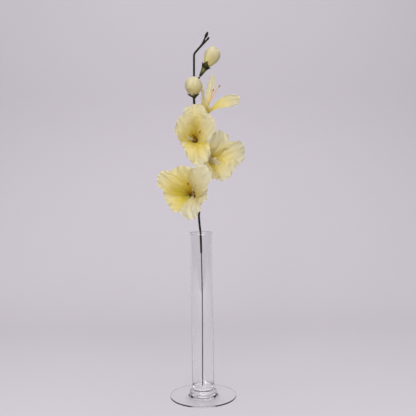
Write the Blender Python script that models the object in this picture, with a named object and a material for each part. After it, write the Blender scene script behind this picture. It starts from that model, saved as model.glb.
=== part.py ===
"""Gladiolus spray with pale yellow blooms, standing in a slim clear glass vase.

The stem is a thin wire that stands on the floor of the vase and carries a dark green sheath, which leans
on the front of the rim. Side shoots of the sheath hold green calyces, and each calyx holds the petals of a
bloom or a bud.

Every length below is in millimetres and MM turns it into metres where a mesh is made. Angles are in
degrees. The origin is the middle of the vase's foot on the table, +Z is up and the open side of the blooms
is at -Y.
"""

import math
from dataclasses import dataclass, field, replace

import bmesh
import bpy
from mathutils import Matrix, Vector

MM = 0.001
GAP = 0.3

# Vase
VASE_HEIGHT = 300.0
FOOT_RADIUS = 60.0
FOOT_EDGE = 2.6
FOOT_CROWN_RADIUS = 27.0
FOOT_CROWN_HEIGHT = 5.0
KNOP_RADIUS = 25.2
KNOP_HEIGHT = 7.4
TUBE_FOOT_HEIGHT = 13.5
TUBE_RADIUS = 20.0
BORE_RADIUS = 18.2
RIM_RADIUS = 20.5
RIM_BORE_RADIUS = 18.0
BORE_FLOOR = 18.5
BORE_CORNER = 6.0
VASE_SIDES = 32

# Wire and stem
WIRE_RADIUS = 1.0
SHEATH_RADIUS = 2.0
SHEATH_TIP_RADIUS = 1.9
SHEATH_FOOT = 263.7
SOCKET_DEPTH = 12.0
SHOOT_RADIUS = 1.6
SHOOT_STEPS = 5
REST_HEIGHT = 297.0
RIM_GAP = 0.4
REST_OFFSET = RIM_BORE_RADIUS - RIM_GAP - SHEATH_RADIUS

WIRE_ROUTE = [
    (-1.4, 0.0, BORE_FLOOR + GAP),
    (-0.9, -2.6, 60.0),
    (-0.2, -5.0, 103.0),
    (0.5, -8.8, 177.0),
    (0.2, -13.0, 246.0),
    (-0.1, -14.2, SHEATH_FOOT),
]
STEM_ROUTE = [
    (-0.1, -14.2, SHEATH_FOOT),
    (-0.9, -REST_OFFSET, REST_HEIGHT),
    (-2.4, -16.6, 313.0),
    (-3.4, -17.6, 329.0),
    (-2.9, -18.6, 340.0),
    (-4.1, -21.0, 365.0),
    (-5.6, -24.0, 412.0),
    (-6.9, -25.0, 447.0),
    (-8.1, -26.0, 483.0),
    (-8.9, -26.0, 515.0),
    (-9.4, -26.0, 545.0),
    (-8.6, -26.0, 577.0),
    (-8.1, -26.0, 612.0),
    (-7.4, -26.0, 617.5),
    (-5.0, -26.0, 621.5),
    (3.5, -26.0, 631.0),
]
FORK_LEFT = [(3.5, -26.0, 631.0), (8.3, -26.0, 638.0), (12.4, -26.0, 647.5)]
FORK_RIGHT = [(3.5, -26.0, 631.0), (10.0, -26.0, 637.5), (15.0, -26.0, 642.5)]
TIP_BUD_LEFT = ((12.0, -26.0, 646.0), (0.42, 0.0, 0.91), 13.0, 2.7)
TIP_BUD_RIGHT = ((14.5, -26.0, 642.0), (0.68, 0.0, 0.73), 8.0, 2.1)

# Blooms
FABRIC = 0.7
LAYER = 2.4
ROOT_RADIUS = 3.2
ROOT_DROP = 0.5
ROOT_HEIGHT = 6.0
SEPAL_SINK = 2.5
SEPAL_GAP = 0.8
SEPALS = 3
DISC_RADIUS = 1.7
CORE_INSET = 1.4
SPINE_STEPS = 48
PETAL_ROWS = 6
PETAL_COLUMNS = 5
NARROW = 12.0
NARROW_COLUMNS = 3
SEPAL_ROWS = 3
SEPAL_COLUMNS = 2
WRAPPED_COLUMNS = 4


@dataclass(frozen=True)
class Petal:
    """One blade. Turn is read on a clock that faces the viewer. Spread is the tip's angle from the axis."""

    turn: float
    length: float = 66.0
    width: float = 22.0
    spread: float = 86.0
    layer: float = 0.0
    root_spread: float = 16.0
    flare: float = 1.25
    belly: float = 0.0
    claw: float = 0.14
    widest: float = 0.62
    tip_width: float = 0.9
    rounding: float = 0.16
    cup: float = 0.3
    hug: float = 0.0
    lift: float = 0.0
    overlap: float = 0.7
    fold: float = 1.0
    ruffle: float = 1.6
    ripples: float = 2.5
    twist: float = 0.0
    sweep: float = 0.0
    phase: float = 0.0


OPEN_SEPAL = Petal(
    40, 17, 5, 36, claw=0.75, widest=0.3, tip_width=0.12, rounding=0.0, overlap=0.0, fold=0.0, ruffle=0.0,
)
RIBBON = Petal(
    0, 32, 2.0, 62, 1.6 * LAYER, claw=0.6, widest=0.5, tip_width=0.7, overlap=0.0, ruffle=0.8, twist=50,
)


@dataclass
class Stamen:
    """A filament from the throat. Lean is its angle from the axis, and bend adds to it towards the tip."""

    turn: float
    length: float = 34.0
    lean: float = 10.0
    bend: float = 14.0
    anther: float = 8.0


@dataclass
class Bloom:
    """Petals on one axis, which meet the calyx at base. Their shoot leaves the stem at the height shoot."""

    number: int
    base: tuple
    axis: tuple
    seed: float
    shoot: float
    petals: list
    stamens: list = field(default_factory=list)
    sepal: Petal = OPEN_SEPAL
    calyx_foot: float = 6.0


BLOOMS = [
    Bloom(
        1, (-8.8, -29.8, 366.0), (-0.47, -0.88, 0.04), 0.3, 353.0,
        [
            Petal(348, 69, 30, 88, root_spread=14, twist=-3),
            Petal(244, 55, 24, 84, root_spread=17, rounding=0.1, twist=16, sweep=5),
            Petal(98, 57, 20, 92, sweep=-2),
            Petal(312, 80, 20, 72, LAYER, rounding=0.08, twist=14, sweep=-1),
            Petal(160, 60, 21, 94, LAYER, root_spread=18, sweep=-2),
            Petal(53, 84, 23, 104, LAYER, root_spread=18, twist=-8, sweep=-1),
            replace(RIBBON, turn=60, length=54, width=2.5, spread=70),
            replace(RIBBON, turn=198, length=23, width=2.5, spread=50),
        ],
        [Stamen(26, 38, 24, 10), Stamen(340, 16, 10, 8)],
    ),
    Bloom(
        2, (6.0, -33.0, 428.0), (0.74, -0.66, 0.02), 2.0, 418.0,
        [
            Petal(359, 66, 22, 92, LAYER, root_spread=14, twist=14, sweep=-2),
            Petal(72, 81, 23, 89, twist=-15),
            Petal(218, 60, 22, 90, root_spread=13, twist=-8),
            Petal(136, 57, 29, 77, LAYER, twist=-8, sweep=-1),
            Petal(222, 44, 8, 18, 1.6 * LAYER),
            Petal(300, 36, 15, 60, 1.6 * LAYER),
        ],
        [Stamen(112, 18, 6, 10), Stamen(40, 14, 5, 8)],
    ),
    Bloom(
        3, (-8.0, -35.0, 461.0), (-0.05, -0.97, 0.16), 1.1, 448.0,
        [
            Petal(4, 72, 19, 91, root_spread=19, twist=4, sweep=4),
            Petal(157, 73, 21, 96, twist=-14, sweep=4),
            Petal(268, 37, 16, 75, root_spread=13, twist=8, sweep=-2),
            Petal(316, 61, 25, 61, LAYER, root_spread=19, twist=-12, sweep=3),
            Petal(66, 64, 25, 70, LAYER, root_spread=20, twist=6, sweep=-5),
            Petal(184, 63, 15.5, 92, LAYER, twist=8, sweep=-2),
            replace(RIBBON, turn=290, length=33, width=2.6, spread=50),
        ],
        [Stamen(56, 28, 20, 10), Stamen(340, 18, 5, 8)],
    ),
    Bloom(
        4, (7.5, -28.0, 501.0), (0.24, -0.32, 0.91), 3.0, 480.0,
        [
            Petal(
                128, 77, 11, 78, root_spread=6, flare=0.79, widest=0.68, tip_width=0.85, rounding=0.11,
                twist=-91, sweep=8,
            ),
            Petal(285, 44, 11, 150, root_spread=13, flare=0.9, twist=40),
            Petal(32, 81, 7.5, 3, root_spread=6, claw=0.12, widest=0.9, twist=24),
            Petal(232, 42, 8, 46, LAYER),
            Petal(344, 67, 6, 40, LAYER, root_spread=12, flare=0.7, twist=-15, sweep=8),
            Petal(190, 26, 7, 60, 1.6 * LAYER),
        ],
        [Stamen(130, 57, 3, 20, 5), Stamen(160, 47, 2, 8, 4)],
        replace(OPEN_SEPAL, turn=345, length=14, spread=44),
    ),
]
BUD_PETAL = Petal(
    0, 51, 20, -90, root_spread=25, flare=2.5, belly=8, claw=0.25, widest=0.5, tip_width=0.25, cup=0.0,
    hug=1.0, rounding=0.0, overlap=1.0, fold=0.3, ruffle=0.2,
)
BUD_SEPAL = replace(OPEN_SEPAL, root_spread=27, spread=31, length=15, width=8, hug=1.0, lift=1.2)
BUDS = [
    Bloom(
        5, (-8.6, -38.5, 541.0), (-0.03, -0.50, 0.87), 0.9, 516.0,
        [
            replace(BUD_PETAL, turn=turn, length=54, spread=-125, root_spread=57, belly=7, flare=1.25)
            for turn in (20, 140, 260)
        ],
        sepal=replace(BUD_SEPAL, length=11, width=6.5, root_spread=59, spread=44, lift=1.6),
    ),
    Bloom(
        6, (10.5, -23.5, 593.0), (0.50, 0.08, 0.86), 1.7, 566.0,
        [replace(BUD_PETAL, turn=turn) for turn in (80, 200, 320)], sepal=BUD_SEPAL, calyx_foot=17.0,
    ),
]


# Meshes

def smooth_step(start, end, value):
    part = min(max((value - start) / (end - start), 0.0), 1.0)
    return part * part * (3.0 - 2.0 * part)


def clock_frame(axis):
    """Up, right and forward directions of a clock face that looks along the axis."""
    forward = Vector(axis).normalized()
    up = (Vector((0.0, 0.0, 1.0)) - forward * forward.z).normalized()
    return up, up.cross(forward), forward


def spine_of(petal):
    """The petal's centre line as (radius, height, angle) from root to tip."""
    def angle(part):
        opened = petal.root_spread + (petal.spread - petal.root_spread) * part ** petal.flare
        return math.radians(opened + petal.belly * math.sin(math.pi * part))

    radius = ROOT_RADIUS
    height = 0.0
    step = petal.length / SPINE_STEPS
    spine = [(radius, height, angle(0.0))]
    for index in range(SPINE_STEPS):
        middle = angle((index + 0.5) / SPINE_STEPS)
        radius += math.sin(middle) * step
        height += math.cos(middle) * step
        spine.append((radius, height, angle((index + 1) / SPINE_STEPS)))
    return spine


def along_spine(spine, part):
    place = min(max(part, 0.0), 1.0) * SPINE_STEPS
    index = min(int(place), SPINE_STEPS - 1)
    rest = place - index
    return tuple(low + (high - low) * rest for low, high in zip(spine[index], spine[index + 1]))


def half_width(petal, part):
    grown = petal.claw + (1.0 - petal.claw) * smooth_step(0.0, petal.widest, part)
    narrowed = 1.0 - (1.0 - petal.tip_width) * smooth_step(petal.widest, 1.0, part)
    return petal.width * grown * narrowed


def shared_folds(turn, part, seed):
    """Folds that all petals of a bloom share, so that their layers keep apart."""
    return (
        math.sin(3.0 * turn + seed + 1.1 * part)
        + 0.6 * math.sin(7.0 * turn + 2.3 * seed - 0.9 * part)
        + 0.3 * math.sin(13.0 * turn + 1.7 * seed)
    )


def petal_point(petal, spine, seed, side, part):
    """Sideways, outward and forward distance of the point at side -1 to 1 and part 0 to 1 of the petal."""
    back = petal.rounding * part ** 3 * abs(side) ** 2.2
    radius, height, angle = along_spine(spine, part - back)
    tube = 1.0 - smooth_step(0.05, 0.5, part)
    around = max(radius + petal.lift, ROOT_RADIUS)
    curve = max(tube, petal.hug) / around + petal.cup / 30.0 * (1.0 - tube)
    across = side * half_width(petal, part)
    sideways = math.sin(curve * across) / curve
    inward = (1.0 - math.cos(curve * across)) / curve
    turn = math.radians(petal.turn) + math.atan2(sideways, around + 6.0)
    inward += petal.fold * smooth_step(0.15, 1.0, part) ** 1.2 * shared_folds(turn, part, seed)
    wave = math.sin(2.0 * math.pi * petal.ripples * part + 1.7 * petal.phase + (2.1 if side < 0 else 0.0))
    inward += petal.ruffle * smooth_step(0.25, 0.75, part) * abs(side) ** 3 * wave
    inward += 0.75 * petal.ruffle * part ** 4 * math.sin(2.2 * math.pi * side + petal.phase)
    inward += petal.layer * (0.38 + 0.62 * smooth_step(0.05, 0.4, part)) - petal.lift
    inward += petal.overlap * side * smooth_step(0.0, 0.35, part)
    twist = math.radians(petal.twist) * part
    lateral = sideways * math.cos(twist) - inward * math.sin(twist)
    inward = inward * math.cos(twist) + sideways * math.sin(twist)
    lateral += petal.sweep * part * part
    return lateral, radius - inward * math.cos(angle), height + inward * math.sin(angle)


def add_petal(mesh, petal, base, axis, seed, rows, columns, thickness=FABRIC):
    """One closed blade, split into triangles before it gets its thickness, so that both faces are alike."""
    spine = spine_of(petal)
    up, right, forward = clock_frame(axis)
    turn = math.radians(petal.turn)
    outward = up * math.cos(turn) + right * math.sin(turn)
    across = right * math.cos(turn) - up * math.sin(turn)
    grid = bmesh.ops.create_grid(mesh, x_segments=columns, y_segments=rows, size=1.0)
    for vert in grid["verts"]:
        lateral, radius, height = petal_point(petal, spine, seed, vert.co.x, (vert.co.y + 1.0) / 2.0)
        vert.co = (Vector(base) + outward * radius + across * lateral + forward * height) * MM
    faces = list({face for vert in grid["verts"] for face in vert.link_faces})
    faces = bmesh.ops.triangulate(mesh, faces=faces)["faces"]
    half = thickness * MM / 2.0
    mesh.normal_update()
    for vert in grid["verts"]:
        vert.co += vert.normal * half
    bmesh.ops.solidify(mesh, geom=faces, thickness=thickness * MM)


def object_of(name, mesh, smooth_angle=50.0):
    """Makes an object from a bmesh and frees it."""
    bmesh.ops.recalc_face_normals(mesh, faces=mesh.faces)
    data = bpy.data.meshes.new(name)
    mesh.to_mesh(data)
    mesh.free()
    data.shade_smooth()
    data.set_sharp_from_angle(angle=math.radians(smooth_angle))
    obj = bpy.data.objects.new(name, data)
    bpy.context.scene.collection.objects.link(obj)
    return obj


def turned(name, profile, base=(0.0, 0.0, 0.0), axis=(0.0, 0.0, 1.0), sides=12):
    """A closed solid turned from (radius, height) points that start and end on the axis."""
    mesh = bmesh.new()
    verts = [mesh.verts.new((radius * MM, 0.0, height * MM)) for radius, height in profile]
    edges = [mesh.edges.new(pair) for pair in zip(verts, verts[1:])]
    bmesh.ops.spin(
        mesh, geom=verts + edges, cent=(0, 0, 0), axis=(0, 0, 1), angle=math.tau, steps=sides,
        use_merge=True,
    )
    bmesh.ops.remove_doubles(mesh, verts=mesh.verts, dist=0.001 * MM)
    turn = Vector(axis).to_track_quat("Z", "Y").to_matrix().to_4x4()
    bmesh.ops.transform(mesh, matrix=Matrix.Translation(Vector(base) * MM) @ turn, verts=mesh.verts)
    return object_of(name, mesh)


def curve_points(route, count):
    """Points of a smooth curve that passes through every point of the route."""
    ends = [Vector(route[0]) * 2.0 - Vector(route[1])] + [Vector(point) for point in route]
    ends.append(Vector(route[-1]) * 2.0 - Vector(route[-2]))
    points = []
    for index in range(1, len(ends) - 2):
        before, start, end, after = ends[index - 1:index + 3]
        for step in range(count):
            part = step / count
            points.append(0.5 * (
                2.0 * start + (end - before) * part
                + (2.0 * before - 5.0 * start + 4.0 * end - after) * part ** 2
                + (3.0 * start - before - 3.0 * end + after) * part ** 3
            ))
    return points + [Vector(route[-1])]


def tube(name, points, radii, resolution=2):
    """A round bar along the points, whose radius changes evenly from one end to the other."""
    curve = bpy.data.curves.new(name, "CURVE")
    curve.dimensions = "3D"
    curve.bevel_depth = MM
    curve.bevel_resolution = resolution
    curve.use_fill_caps = True
    spline = curve.splines.new("POLY")
    spline.points.add(len(points) - 1)
    for index, (point, place) in enumerate(zip(points, spline.points)):
        place.co = (*(Vector(point) * MM), 1.0)
        place.radius = radii[0] + (radii[1] - radii[0]) * index / (len(points) - 1)
    shape = bpy.data.objects.new(name + "_curve", curve)
    bpy.context.scene.collection.objects.link(shape)
    bpy.context.view_layer.update()
    evaluated = shape.evaluated_get(bpy.context.evaluated_depsgraph_get())
    mesh = bmesh.new()
    mesh.from_mesh(evaluated.to_mesh())
    evaluated.to_mesh_clear()
    bpy.data.objects.remove(shape)
    bmesh.ops.remove_doubles(mesh, verts=mesh.verts, dist=0.001 * MM)
    return object_of(name, mesh)


def keep_largest(data):
    """Drops loose scraps and the walls of sealed hollows, which a union can leave."""
    mesh = bmesh.new()
    mesh.from_mesh(data)
    left = set(mesh.faces)
    islands = []
    while left:
        island = {left.pop()}
        border = list(island)
        while border:
            edges = [edge for face in border for edge in face.edges if len(edge.link_faces) == 2]
            found = {face for edge in edges for face in edge.link_faces} - island
            island |= found
            border = list(found)
        left -= island
        islands.append(island)
    largest = max(islands, key=len)
    scraps = [face for face in mesh.faces if face not in largest]
    bmesh.ops.delete(mesh, geom=scraps, context="FACES")
    mesh.to_mesh(data)
    mesh.free()


def combine(body, others, operation="UNION", solver="EXACT"):
    """Joins the others to the body, or cuts them from it, by one Boolean on a collection."""
    group = bpy.data.collections.new(body.name + "_pieces")
    bpy.context.scene.collection.children.link(group)
    for other in others:
        bpy.context.scene.collection.objects.unlink(other)
        group.objects.link(other)
    boolean = body.modifiers.new("Join", "BOOLEAN")
    boolean.operation = operation
    boolean.operand_type = "COLLECTION"
    boolean.collection = group
    boolean.solver = solver
    bpy.context.view_layer.update()
    evaluated = body.evaluated_get(bpy.context.evaluated_depsgraph_get())
    data = bpy.data.meshes.new_from_object(evaluated)
    body.modifiers.clear()
    body.data = data
    keep_largest(data)
    for other in others:
        bpy.data.objects.remove(other)
    bpy.data.collections.remove(group)
    return body


# Materials

def material(name, colour, roughness, metallic=0.0, transmission=0.0):
    found = bpy.data.materials.get(name)
    if found:
        return found
    made = bpy.data.materials.new(name)
    made.use_nodes = True
    shader = made.node_tree.nodes["Principled BSDF"]
    shader.inputs["Base Color"].default_value = (*colour, 1.0)
    shader.inputs["Roughness"].default_value = roughness
    shader.inputs["Metallic"].default_value = metallic
    shader.inputs["Transmission Weight"].default_value = transmission
    made.diffuse_color = (*colour, 1.0)
    return made


def paint(obj, finish):
    obj.data.materials.clear()
    obj.data.materials.append(finish)
    return obj


def glass():
    return material("glass", (0.96, 0.97, 0.97), 0.02, transmission=1.0)


def petal_fabric():
    return material("petal_fabric", (0.82, 0.76, 0.50), 0.85)


def green_plastic():
    return material("green_plastic", (0.02, 0.032, 0.012), 0.55)


def wire_metal():
    return material("wire_metal", (0.08, 0.08, 0.08), 0.4, metallic=0.8)


def orange_plastic():
    return material("orange_plastic", (0.60, 0.22, 0.02), 0.5)


# Pieces

def make_vase():
    profile = [
        (0.0, 0.0),
        (FOOT_RADIUS - 1.3, 0.0),
        (FOOT_RADIUS - 0.3, 0.5),
        (FOOT_RADIUS, FOOT_EDGE / 2.0),
        (FOOT_RADIUS - 0.3, FOOT_EDGE - 0.4),
        (FOOT_RADIUS - 1.3, FOOT_EDGE),
        (44.0, 3.1),
        (34.0, 3.9),
        (FOOT_CROWN_RADIUS, FOOT_CROWN_HEIGHT),
        (KNOP_RADIUS, KNOP_HEIGHT - 1.2),
        (KNOP_RADIUS, KNOP_HEIGHT + 0.8),
        (23.4, 10.4),
        (21.2, 12.0),
        (TUBE_RADIUS, TUBE_FOOT_HEIGHT),
        (TUBE_RADIUS, VASE_HEIGHT - 5.0),
        (RIM_RADIUS, VASE_HEIGHT - 3.2),
        (RIM_RADIUS, VASE_HEIGHT - 1.0),
        (19.4, VASE_HEIGHT),
        (RIM_BORE_RADIUS + 0.4, VASE_HEIGHT - 0.4),
        (RIM_BORE_RADIUS, VASE_HEIGHT - 1.8),
        (RIM_BORE_RADIUS, VASE_HEIGHT - 3.2),
        (BORE_RADIUS, VASE_HEIGHT - 5.0),
        (BORE_RADIUS, BORE_FLOOR + BORE_CORNER),
    ]
    for step in (1, 2, 3):
        turn = math.radians(30.0 * step)
        profile.append((
            BORE_RADIUS - BORE_CORNER * (1.0 - math.cos(turn)),
            BORE_FLOOR + BORE_CORNER * (1.0 - math.sin(turn)),
        ))
    profile.append((0.0, BORE_FLOOR))
    return paint(turned("vase", profile, sides=VASE_SIDES), glass())


def make_wire():
    points = curve_points(WIRE_ROUTE, 3)
    direction = (Vector(STEM_ROUTE[1]) - Vector(STEM_ROUTE[0])).normalized()
    points.append(points[-1] + direction * (SOCKET_DEPTH - GAP))
    return paint(tube("wire", points, (WIRE_RADIUS, WIRE_RADIUS)), wire_metal())


def stem_point(height):
    """The middle of the stem at a height."""
    for low, high in zip(STEM_ROUTE, STEM_ROUTE[1:]):
        if low[2] <= height <= high[2]:
            part = (height - low[2]) / (high[2] - low[2])
            return Vector(low).lerp(Vector(high), part)
    raise ValueError(f"the stem has no point at {height}")


def shoot(bloom):
    """A side shoot that leaves the stem upwards and ends on the calyx's axis, just short of its foot."""
    start = stem_point(bloom.shoot)
    forward = Vector(bloom.axis).normalized()
    end = Vector(bloom.base) - forward * (bloom.calyx_foot + GAP)
    seat = end - forward * SHOOT_RADIUS
    reach = (seat - start).length
    handles = [start, start + Vector((0.0, 0.0, 0.4 * reach)), seat - forward * 0.4 * reach, seat]
    points = []
    for step in range(SHOOT_STEPS + 1):
        part = step / SHOOT_STEPS
        points.append(
            handles[0] * (1.0 - part) ** 3 + handles[1] * 3.0 * part * (1.0 - part) ** 2
            + handles[2] * 3.0 * part ** 2 * (1.0 - part) + handles[3] * part ** 3
        )
    return tube(f"shoot_{bloom.number}", points + [end], (SHOOT_RADIUS, SHOOT_RADIUS), 1)


def tip_bud(name, base, axis, length, radius):
    profile = [(0.0, 0.0), (0.62, 0.08), (0.95, 0.3), (1.0, 0.48), (0.8, 0.72), (0.4, 0.92), (0.0, 1.0)]
    return turned(name, [(radius * across, length * up) for across, up in profile], base, axis, 8)


def make_stem():
    stem = tube("stem", curve_points(STEM_ROUTE, 2), (SHEATH_RADIUS, SHEATH_TIP_RADIUS), 1)
    direction = (Vector(STEM_ROUTE[1]) - Vector(STEM_ROUTE[0])).normalized()
    foot = Vector(STEM_ROUTE[0])
    bore = WIRE_RADIUS + GAP
    socket = tube("socket", [foot - direction * 4.0, foot + direction * SOCKET_DEPTH], (bore, bore))
    combine(stem, [socket], "DIFFERENCE")
    others = [shoot(bloom) for bloom in BLOOMS + BUDS]
    for side, route in (("left", FORK_LEFT), ("right", FORK_RIGHT)):
        others.append(tube("fork_" + side, curve_points(route, 2), (SHEATH_TIP_RADIUS, SHOOT_RADIUS), 1))
    others.append(tip_bud("tip_left", *TIP_BUD_LEFT))
    others.append(tip_bud("tip_right", *TIP_BUD_RIGHT))
    return paint(combine(stem, others), green_plastic())


def bud_core(petal):
    """The profile of a closed bud's heart, a little inside its petals."""
    profile = [(0.0, -ROOT_DROP), (2.6, -ROOT_DROP)]
    for step in range(1, 9):
        radius, height, angle = along_spine(spine_of(petal), step / 9.0)
        inside = CORE_INSET * smooth_step(0.0, 0.3, step / 9.0)
        profile.append((radius - inside * math.cos(angle), height + inside * math.sin(angle)))
    return profile + [(0.0, profile[-1][1] + 0.5)]


def make_petals(bloom):
    name = f"petals_{bloom.number}"
    if bloom.stamens:
        profile = [(0.0, -ROOT_DROP), (2.6, -ROOT_DROP), (3.5, 0.5), (4.9, ROOT_HEIGHT), (0.0, ROOT_HEIGHT)]
    else:
        profile = bud_core(bloom.petals[0])
    root = turned(name, profile, bloom.base, bloom.axis, 10)
    blades = []
    for index, petal in enumerate(bloom.petals):
        mesh = bmesh.new()
        petal = replace(petal, phase=1.3 * index + bloom.seed)
        columns = PETAL_COLUMNS if petal.width > NARROW else NARROW_COLUMNS
        add_petal(mesh, petal, bloom.base, bloom.axis, bloom.seed, PETAL_ROWS, columns)
        blades.append(object_of(f"blade_{bloom.number}_{index}", mesh))
    return paint(combine(root, blades, solver="MANIFOLD"), petal_fabric())


def make_calyx(bloom):
    """A green cup of pointed sepals on a short cone."""
    forward = Vector(bloom.axis).normalized()
    top = -ROOT_DROP - GAP
    foot = -bloom.calyx_foot
    cone = turned(
        f"calyx_{bloom.number}", [(0.0, foot), (1.9, foot), (3.7, 0.5 * foot), (5.2, top), (0.0, top)],
        bloom.base, bloom.axis, 8,
    )
    blades = []
    widened = SEPAL_SINK * math.sin(math.radians(bloom.sepal.root_spread))
    for index in range(SEPALS):
        mesh = bmesh.new()
        sepal = replace(
            bloom.sepal, turn=bloom.sepal.turn + 360.0 / SEPALS * index,
            lift=bloom.sepal.lift + FABRIC + SEPAL_GAP - widened,
        )
        start = Vector(bloom.base) - forward * SEPAL_SINK
        columns = WRAPPED_COLUMNS if sepal.hug else SEPAL_COLUMNS
        add_petal(mesh, sepal, start, bloom.axis, bloom.seed, SEPAL_ROWS, columns)
        blades.append(object_of(f"sepal_{bloom.number}_{index}", mesh))
    return paint(combine(cone, blades, solver="MANIFOLD"), green_plastic())


def make_stamens(bloom):
    """Filaments with anthers, on a small disc that stands on the root of the petals."""
    up, right, forward = clock_frame(bloom.axis)
    base = Vector(bloom.base)
    low = ROOT_HEIGHT + GAP
    disc = turned(
        f"stamens_{bloom.number}",
        [(0.0, low), (DISC_RADIUS, low), (DISC_RADIUS - 0.4, low + 2.0), (0.0, low + 2.4)],
        bloom.base, bloom.axis, 8,
    )
    parts = []
    steps = 4
    for index, stamen in enumerate(bloom.stamens):
        turn = math.radians(stamen.turn)
        outward = up * math.cos(turn) + right * math.sin(turn)
        points = [base + forward * (low + 0.8) + outward * 0.75]
        for step in range(steps):
            angle = math.radians(stamen.lean + stamen.bend * step / (steps - 1))
            way = forward * math.cos(angle) + outward * math.sin(angle)
            points.append(points[-1] + way * stamen.length / steps)
        parts.append(tube(f"filament_{bloom.number}_{index}", points, (0.65, 0.5), 0))
        profile = [(0.0, 0.0), (0.75, 0.12), (1.0, 0.5), (0.75, 0.88), (0.0, 1.0)]
        parts.append(turned(
            f"anther_{bloom.number}_{index}",
            [(1.3 * across, stamen.anther * along) for across, along in profile],
            points[-1] - way * stamen.anther * 0.4, way, 6,
        ))
    return paint(combine(disc, parts), orange_plastic())


def main():
    for obj in list(bpy.data.objects):
        bpy.data.objects.remove(obj)
    make_vase()
    make_wire()
    make_stem()
    for bloom in BLOOMS + BUDS:
        make_calyx(bloom)
        make_petals(bloom)
    for bloom in BLOOMS:
        make_stamens(bloom)


if __name__ == "__main__":
    main()
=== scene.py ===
"""Gladiolus spray with pale yellow cloth blooms in a slim clear glass vase.

Every length in the tables below is in millimetres, and MM turns it into metres where a mesh is made. Angles
are in degrees. The tables repeat the solids' own values, and each piece here has the solid's form with finer
detail. Two places differ: the knop is rounder, by up to 1.6 mm, and the stem is solid round the wire, whose
round end dips 0.3 mm into the glass.
"""

import math
from dataclasses import dataclass, field, replace

import bmesh
import bpy
from bpy.props import FloatProperty, FloatVectorProperty, IntProperty, PointerProperty
from mathutils import Matrix, Vector, noise


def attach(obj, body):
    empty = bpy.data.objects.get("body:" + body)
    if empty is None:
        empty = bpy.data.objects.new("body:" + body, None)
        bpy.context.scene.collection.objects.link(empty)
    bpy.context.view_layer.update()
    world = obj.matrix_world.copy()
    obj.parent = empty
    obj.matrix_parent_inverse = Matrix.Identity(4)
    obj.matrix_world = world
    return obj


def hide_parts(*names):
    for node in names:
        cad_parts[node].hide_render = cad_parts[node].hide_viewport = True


bl_info = {
    "name": "Gladiolus in Vase",
    "version": (1, 0, 0),
    "blender": (4, 5, 0),
    "location": "View3D > Sidebar > Gladiolus",
    "description": "Makes a cloth gladiolus spray in a glass vase, piece by piece",
    "category": "Object",
}

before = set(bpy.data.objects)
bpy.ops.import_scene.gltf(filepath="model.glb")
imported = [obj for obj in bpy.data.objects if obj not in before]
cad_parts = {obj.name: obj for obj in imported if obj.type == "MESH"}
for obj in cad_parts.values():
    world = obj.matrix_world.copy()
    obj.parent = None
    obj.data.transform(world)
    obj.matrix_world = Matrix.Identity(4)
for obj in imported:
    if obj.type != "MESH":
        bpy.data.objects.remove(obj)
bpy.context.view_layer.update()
BODY = "root"

MM = 0.001
GAP = 0.3
RIM_GAP = 0.4

# Vase
VASE_HEIGHT = 300.0
FOOT_RADIUS = 60.0
FOOT_EDGE = 2.6
FOOT_ROUND = 1.3
FOOT_CROWN_RADIUS = 27.0
FOOT_CROWN_HEIGHT = 5.0
KNOP_RADIUS = 25.2
KNOP_HEIGHT = 7.4
TUBE_FOOT_HEIGHT = 13.5
TUBE_RADIUS = 20.0
BORE_RADIUS = 18.2
RIM_RADIUS = 20.5
RIM_BORE_RADIUS = 18.0
BORE_FLOOR = 18.5
BORE_CORNER = 6.0

# Wire and stem
SHEATH_RADIUS = 2.0
SHEATH_TIP_RADIUS = 1.9
SHEATH_FOOT = 263.7
SOCKET_DEPTH = 12.0
SHOOT_RADIUS = 1.6
SHOOT_FLARE = 0.35
SHOOT_FLARE_STEPS = 8.0
REST_HEIGHT = 297.0
REST_OFFSET = RIM_BORE_RADIUS - RIM_GAP - SHEATH_RADIUS

WIRE_ROUTE = [
    (-1.4, 0.0, BORE_FLOOR + GAP),
    (-0.9, -2.6, 60.0),
    (-0.2, -5.0, 103.0),
    (0.5, -8.8, 177.0),
    (0.2, -13.0, 246.0),
    (-0.1, -14.2, SHEATH_FOOT),
]
STEM_ROUTE = [
    (-0.1, -14.2, SHEATH_FOOT),
    (-0.9, -REST_OFFSET, REST_HEIGHT),
    (-2.4, -16.6, 313.0),
    (-3.4, -17.6, 329.0),
    (-2.9, -18.6, 340.0),
    (-4.1, -21.0, 365.0),
    (-5.6, -24.0, 412.0),
    (-6.9, -25.0, 447.0),
    (-8.1, -26.0, 483.0),
    (-8.9, -26.0, 515.0),
    (-9.4, -26.0, 545.0),
    (-8.6, -26.0, 577.0),
    (-8.1, -26.0, 612.0),
    (-7.4, -26.0, 617.5),
    (-5.0, -26.0, 621.5),
    (3.5, -26.0, 631.0),
]
FORK_LEFT = [(3.5, -26.0, 631.0), (8.3, -26.0, 638.0), (12.4, -26.0, 647.5)]
FORK_RIGHT = [(3.5, -26.0, 631.0), (10.0, -26.0, 637.5), (15.0, -26.0, 642.5)]
TIP_BUD_LEFT = ((12.0, -26.0, 646.0), (0.42, 0.0, 0.91), 13.0, 2.7)
TIP_BUD_RIGHT = ((14.5, -26.0, 642.0), (0.68, 0.0, 0.73), 8.0, 2.1)
TIP_BUD_SHAPE = [(0.0, 0.0), (0.62, 0.08), (0.95, 0.3), (1.0, 0.48), (0.8, 0.72), (0.4, 0.92), (0.0, 1.0)]

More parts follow.
